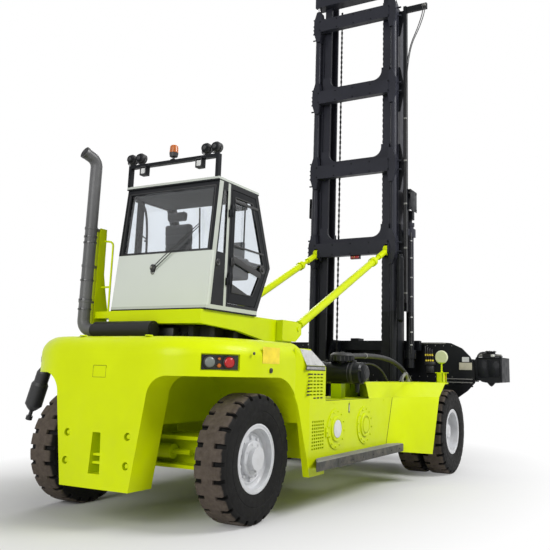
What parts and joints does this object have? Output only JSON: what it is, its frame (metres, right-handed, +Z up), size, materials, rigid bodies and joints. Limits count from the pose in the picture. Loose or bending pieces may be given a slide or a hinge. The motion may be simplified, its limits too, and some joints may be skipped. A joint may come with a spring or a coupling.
{
  "type": "empty container handler",
  "caption": "Counterbalanced truck with a tall two-stage mast and a side-lift telescopic spreader for stacking empty containers.",
  "frame": {"origin": "on the ground, at the middle of the vehicle's bounding box, with the spreader standing 0.6 m to the left", "axes": "+X forwards to the mast, +Y to the driver's left, +Z up"},
  "size_m": [7.44, 6.06, 8.88],
  "materials": {
    "green_paint": "gloss",
    "black_paint": "satin",
    "white_paint": "gloss",
    "dark_metal": "matte",
    "wheel_paint": "satin",
    "tyre": "matte",
    "glass": "clear",
    "seat_fabric": "woven",
    "plastic": "matte",
    "amber": "clear",
    "exhaust_steel": "dull",
    "rod_chrome": "polished"
  },
  "bodies": {
    "chassis": {"air_cleaner": "black_paint", "beacon": "amber", "cab_floor": "black_paint", "cab_foot_glass": "glass", "cab_frame": "black_paint", "cab_left_glass": "glass", "cab_platform": "green_paint", "cab_quarter_glass_left": "glass", "cab_quarter_glass_right": "glass", "cab_rear_glass": "glass", "cab_rear_panel": "white_paint", "cab_roof": "white_paint", "cab_windscreen": "glass", "counterweight": "green_paint", "drive_axle": "dark_metal", "engine_block": "dark_metal", "exhaust": "exhaust_steel", "exhaust_stand": "green_paint", "front_fender_left": "green_paint", "front_fender_right": "green_paint", "lamp_bar": "black_paint", "main_frame": "green_paint", "mirror_left": "plastic", "mirror_right": "plastic", "rear_canister": "plastic", "seat_back": "seat_fabric", "seat_cushion": "seat_fabric", "side_box_left": "green_paint", "side_box_right": "green_paint", "steer_axle": "green_paint"},
    "rear_wheel_right": {"rear_tyre_right": "tyre", "rear_rim_right": "wheel_paint"},
    "rear_wheel_left": {"rear_tyre_left": "tyre", "rear_rim_left": "wheel_paint"},
    "front_wheel_right": {"front_outer_tyre_right": "tyre", "front_inner_tyre_right": "tyre", "front_rims_right": "wheel_paint"},
    "front_wheel_left": {"front_outer_tyre_left": "tyre", "front_inner_tyre_left": "tyre", "front_rims_left": "wheel_paint"},
    "steering_knuckle_right": {"knuckle_right": "dark_metal"},
    "steering_knuckle_left": {"knuckle_left": "dark_metal"},
    "door": {"cab_door": "black_paint", "cab_door_glass": "glass"},
    "mast_outer_stage": {"outer_mast": "black_paint", "hose_guide": "black_paint"},
    "mast_inner_stage": {"inner_mast": "black_paint", "lift_rod_right": "rod_chrome", "lift_rod_left": "rod_chrome"},
    "free_lift_right": {"free_lift_ram_right": "black_paint"},
    "free_lift_left": {"free_lift_ram_left": "black_paint"},
    "tilt_cylinder_right": {"tilt_tube_right": "green_paint"},
    "tilt_cylinder_left": {"tilt_tube_left": "green_paint"},
    "tilt_piston_right": {"tilt_rod_right": "green_paint"},
    "tilt_piston_left": {"tilt_rod_left": "green_paint"},
    "lift_carriage": {"carriage": "black_paint"},
    "spreader": {"spreader_frame": "black_paint"},
    "telescope_right": {"spreader_arm_right": "black_paint"},
    "telescope_left": {"spreader_arm_left": "black_paint"}
  },
  "joints": [
    {"name": "drive_wheel_spin_right", "type": "hinge", "parent": "chassis", "child": "front_wheel_right", "pos_m": [2.19, -2.284, 0.65], "axis": [0, 1, 0], "continuous": true},
    {"name": "steer_right", "type": "hinge", "parent": "chassis", "child": "steering_knuckle_right", "pos_m": [-2.76, -1.48, 0.65], "axis": [0, 0, 1], "range_deg": [-50, 50]},
    {"name": "steer_wheel_spin_right", "type": "hinge", "parent": "steering_knuckle_right", "child": "rear_wheel_right", "pos_m": [-2.76, -1.723, 0.65], "axis": [0, 1, 0], "continuous": true},
    {"name": "drive_wheel_spin_left", "type": "hinge", "parent": "chassis", "child": "front_wheel_left", "pos_m": [2.19, 1.084, 0.65], "axis": [0, 1, 0], "continuous": true},
    {"name": "steer_left", "type": "hinge", "parent": "chassis", "child": "steering_knuckle_left", "pos_m": [-2.76, 0.28, 0.65], "axis": [0, 0, 1], "range_deg": [-50, 50]},
    {"name": "steer_wheel_spin_left", "type": "hinge", "parent": "steering_knuckle_left", "child": "rear_wheel_left", "pos_m": [-2.76, 0.523, 0.65], "axis": [0, 1, 0], "continuous": true},
    {"name": "mast_tilt", "type": "hinge", "parent": "chassis", "child": "mast_outer_stage", "pos_m": [2.53, -0.6, 0.6], "axis": [0, 1, 0], "range_deg": [-4, 3]},
    {"name": "tilt_cylinder_swing_right", "type": "hinge", "parent": "chassis", "child": "tilt_cylinder_right", "pos_m": [-1.008, -1.29, 2.08], "axis": [0, 1, 0], "range_deg": [-1.17, 0.88]},
    {"name": "tilt_piston_stroke_right", "type": "slide", "parent": "tilt_cylinder_right", "child": "tilt_piston_right", "axis": [0.8977, 0, 0.4406], "range_m": [-0.2023, 0.1519]},
    {"name": "tilt_cylinder_swing_left", "type": "hinge", "parent": "chassis", "child": "tilt_cylinder_left", "pos_m": [-1.008, 0.09, 2.08], "axis": [0, 1, 0], "range_deg": [-1.17, 0.88]},
    {"name": "tilt_piston_stroke_left", "type": "slide", "parent": "tilt_cylinder_left", "child": "tilt_piston_left", "axis": [0.8977, 0, 0.4406], "range_m": [-0.2023, 0.1519]},
    {"name": "mast_lift", "type": "slide", "parent": "mast_outer_stage", "child": "mast_inner_stage", "axis": [0, 0, 1], "range_m": [0, 6.5]},
    {"name": "carriage_lift", "type": "slide", "parent": "mast_inner_stage", "child": "lift_carriage", "axis": [0, 0, 1], "range_m": [0, 4.7]},
    {"name": "free_lift_stroke_right", "type": "slide", "parent": "mast_inner_stage", "child": "free_lift_right", "axis": [0, 0, 1], "range_m": [0, 2.35]},
    {"name": "free_lift_stroke_left", "type": "slide", "parent": "mast_inner_stage", "child": "free_lift_left", "axis": [0, 0, 1], "range_m": [0, 2.35]},
    {"name": "side_shift", "type": "slide", "parent": "lift_carriage", "child": "spreader", "axis": [0, 1, 0], "range_m": [-1.2, 0]},
    {"name": "telescope_stroke_right", "type": "slide", "parent": "spreader", "child": "telescope_right", "axis": [0, -1, 0], "range_m": [0, 3.06]},
    {"name": "telescope_stroke_left", "type": "slide", "parent": "spreader", "child": "telescope_left", "axis": [0, 1, 0], "range_m": [0, 3.06]},
    {"name": "cab_door_swing", "type": "hinge", "parent": "chassis", "child": "door", "pos_m": [-2.565, -1.302, 2.9], "axis": [0, 0, 1], "range_deg": [-100, 0]}
  ],
  "couplings": [
    {"joint": "steer_left", "follows": "steer_right", "ratio": 1},
    {"joint": "tilt_cylinder_swing_right", "follows": "mast_tilt", "ratio": 0.292},
    {"joint": "tilt_cylinder_swing_left", "follows": "mast_tilt", "ratio": 0.292},
    {"joint": "tilt_piston_stroke_right", "follows": "mast_tilt", "m_per_rad": 2.8906},
    {"joint": "tilt_piston_stroke_left", "follows": "mast_tilt", "m_per_rad": 2.8906},
    {"joint": "free_lift_stroke_right", "follows": "carriage_lift", "ratio": 0.5},
    {"joint": "free_lift_stroke_left", "follows": "carriage_lift", "ratio": 0.5},
    {"joint": "telescope_stroke_left", "follows": "telescope_stroke_right", "ratio": 1}
  ]
}
